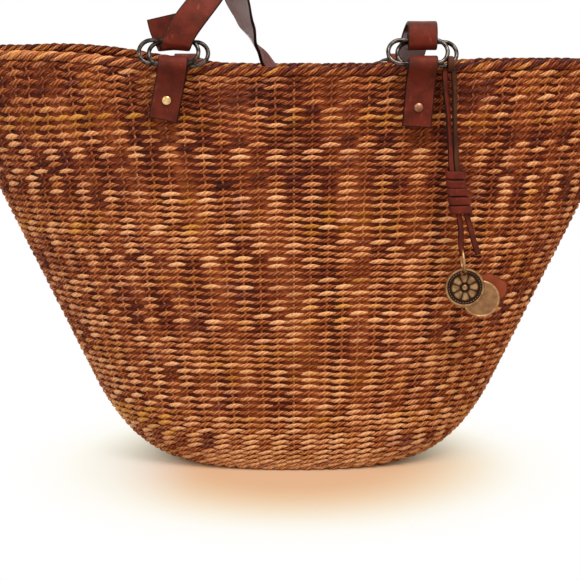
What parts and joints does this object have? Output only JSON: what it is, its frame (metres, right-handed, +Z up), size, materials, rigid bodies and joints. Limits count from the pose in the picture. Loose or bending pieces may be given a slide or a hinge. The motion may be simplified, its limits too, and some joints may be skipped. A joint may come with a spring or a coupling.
{
  "type": "woven basket bag",
  "caption": "Flared oval basket bag of twined plant fibre with a plaited rim, leather strap handles on doubled metal rings, and a wrapped leather charm.",
  "frame": {"origin": "middle of the flat underside of the base", "axes": "+Z up, +X along the bag's length to the right as the charm side is faced, front towards -Y"},
  "size_m": [0.4864, 0.1979, 0.3431],
  "materials": {
    "sisal": "matt twined fibre in tan, gold and red-brown bands",
    "rim_sisal": "matt plaited fibre, tan with dark strands",
    "leather": "smooth waxed red-brown, dark painted edges",
    "lace_leather": "dark brown, worn matt",
    "ring_metal": "dark antique plating, polished",
    "rivet_brass": "polished",
    "disc_brass": "antique, darkened in the hollows"
  },
  "bodies": {
    "basket": {"woven_body": "sisal", "rim_braid": "rim_sisal", "front_left_tab": "leather", "front_left_patch": "leather", "front_left_burr": "rivet_brass", "front_left_rivet": "rivet_brass", "front_right_tab": "leather", "front_right_patch": "leather", "front_right_burr": "rivet_brass", "front_right_rivet": "rivet_brass", "back_left_tab": "leather", "back_left_patch": "leather", "back_left_burr": "rivet_brass", "back_left_rivet": "rivet_brass", "back_right_tab": "leather", "back_right_patch": "leather", "back_right_burr": "rivet_brass", "back_right_rivet": "rivet_brass"},
    "front_left_rings": {"front_left_outer_ring": "ring_metal", "front_left_inner_ring": "ring_metal"},
    "front_right_rings": {"front_right_outer_ring": "ring_metal", "front_right_inner_ring": "ring_metal"},
    "front_handle": {"front_handle": "leather"},
    "back_left_rings": {"back_left_outer_ring": "ring_metal", "back_left_inner_ring": "ring_metal"},
    "back_right_rings": {"back_right_outer_ring": "ring_metal", "back_right_inner_ring": "ring_metal"},
    "back_handle": {"back_handle": "leather"},
    "charm_hitch": {"charm_hitch": "lace_leather"},
    "charm": {"charm_lace": "lace_leather", "charm_wrap": "leather", "charm_link": "ring_metal"},
    "front_disc": {"front_disc": "disc_brass"},
    "back_disc": {"back_disc": "disc_brass"},
    "leather_tag": {"leather_tag": "leather"}
  },
  "joints": [
    {"name": "front_ring_tilt", "type": "hinge", "parent": "basket", "child": "front_left_rings", "pos_m": [-0.077, -0.08099, 0.27716], "axis": [1, 0, 0], "range_deg": [0, 50]},
    {"name": "front_right_ring_tilt", "type": "hinge", "parent": "basket", "child": "front_right_rings", "pos_m": [0.082, -0.08099, 0.27716], "axis": [1, 0, 0], "range_deg": [0, 50]},
    {"name": "front_handle_swing", "type": "hinge", "parent": "front_left_rings", "child": "front_handle", "pos_m": [-0.077, -0.07448, 0.29178], "axis": [1, 0, 0], "range_deg": [0, 60]},
    {"name": "back_ring_lift", "type": "hinge", "parent": "basket", "child": "back_left_rings", "pos_m": [-0.08, 0.08099, 0.27716], "axis": [1, 0, 0], "range_deg": [0, 130]},
    {"name": "back_right_ring_lift", "type": "hinge", "parent": "basket", "child": "back_right_rings", "pos_m": [0.08, 0.08099, 0.27716], "axis": [1, 0, 0], "range_deg": [0, 130]},
    {"name": "back_handle_swing", "type": "hinge", "parent": "back_left_rings", "child": "back_handle", "pos_m": [-0.08, 0.09325, 0.26688], "axis": [1, 0, 0], "range_deg": [0, 50]},
    {"name": "charm_hang", "type": "hinge", "parent": "front_right_rings", "child": "charm_hitch", "pos_m": [0.1, -0.07918, 0.27753], "axis": [1, 0, 0], "range_deg": [-50, 0]},
    {"name": "charm_swing", "type": "hinge", "parent": "charm_hitch", "child": "charm", "pos_m": [0.1, -0.07918, 0.27233], "axis": [0, 1, 0], "range_deg": [-30, 10]},
    {"name": "front_disc_swing", "type": "hinge", "parent": "charm", "child": "front_disc", "pos_m": [0.11112, -0.07918, 0.14261], "axis": [0, 1, 0], "range_deg": [-35, 35]},
    {"name": "back_disc_swing", "type": "hinge", "parent": "charm", "child": "back_disc", "pos_m": [0.11112, -0.07918, 0.14261], "axis": [0, 1, 0], "range_deg": [-35, 35]},
    {"name": "tag_swing", "type": "hinge", "parent": "charm", "child": "leather_tag", "pos_m": [0.11112, -0.07918, 0.14261], "axis": [0, 1, 0], "range_deg": [-35, 60]}
  ],
  "couplings": [
    {"joint": "front_right_ring_tilt", "follows": "front_ring_tilt", "ratio": 1},
    {"joint": "charm_hang", "follows": "front_ring_tilt", "ratio": -1},
    {"joint": "back_right_ring_lift", "follows": "back_ring_lift", "ratio": 1}
  ]
}
